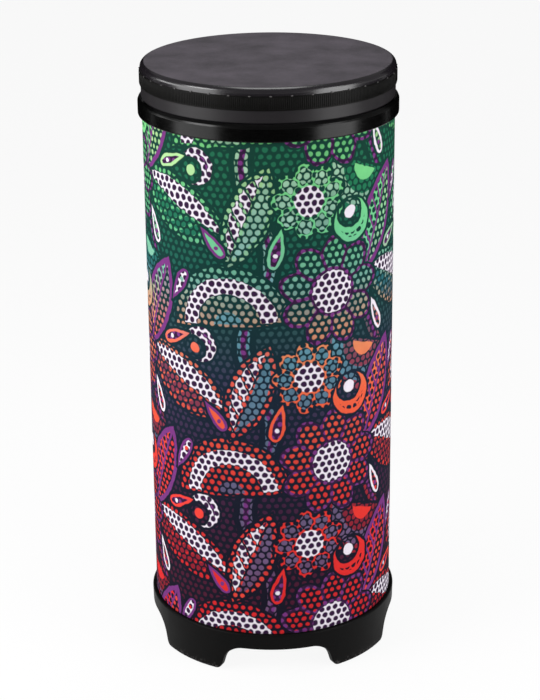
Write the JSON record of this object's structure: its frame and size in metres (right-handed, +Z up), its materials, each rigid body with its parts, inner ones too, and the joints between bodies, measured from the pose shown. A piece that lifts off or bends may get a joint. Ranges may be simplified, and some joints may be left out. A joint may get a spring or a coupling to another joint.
{
  "type": "tubano hand drum",
  "caption": "Tall floor-standing hand drum with a printed tube shell, an arched black foot and a pre-tensioned dark grey head that lifts out of its collar.",
  "frame": {"origin": "on the floor under the drum's axis, at the underside of the foot pads", "axes": "+Z up along the drum's axis, -Y out of the front arch, +X to the right seen from the front"},
  "size_m": [0.2274, 0.2274, 0.5418],
  "materials": {
    "pad_rubber": "matt moulded rubber",
    "foot_plastic": "satin black moulded plastic",
    "screw_steel": "black oxide",
    "fibre_board": "raw wood-fibre board",
    "port_plastic": "matt black",
    "shell_fibre": "resin-bound wood fibre",
    "wrap_print": "printed satin covering",
    "collar_plastic": "gloss black",
    "gasket_foam": "closed-cell foam",
    "ring_plastic": "satin charcoal",
    "bead_resin": "cast resin",
    "skin_film": "suede-coated polyester film",
    "hoop_metal": "black coated, crimped"
  },
  "bodies": {
    "shell": {"foot_pads": "pad_rubber", "foot_ring": "foot_plastic", "port_plate": "fibre_board", "plate_screws": "screw_steel", "port_tube": "port_plastic", "port_flange": "port_plastic", "shell_tube": "shell_fibre", "shell_wrap": "wrap_print", "top_collar": "collar_plastic"},
    "head": {"seat_gasket": "gasket_foam", "tension_ring": "ring_plastic", "lock_bead": "bead_resin", "drum_skin": "skin_film", "crimp_hoop": "hoop_metal"}
  },
  "joints": [
    {"name": "head_lift", "type": "slide", "parent": "shell", "child": "head", "axis": [0, 0, 1], "range_m": [0, 0.06]}
  ]
}
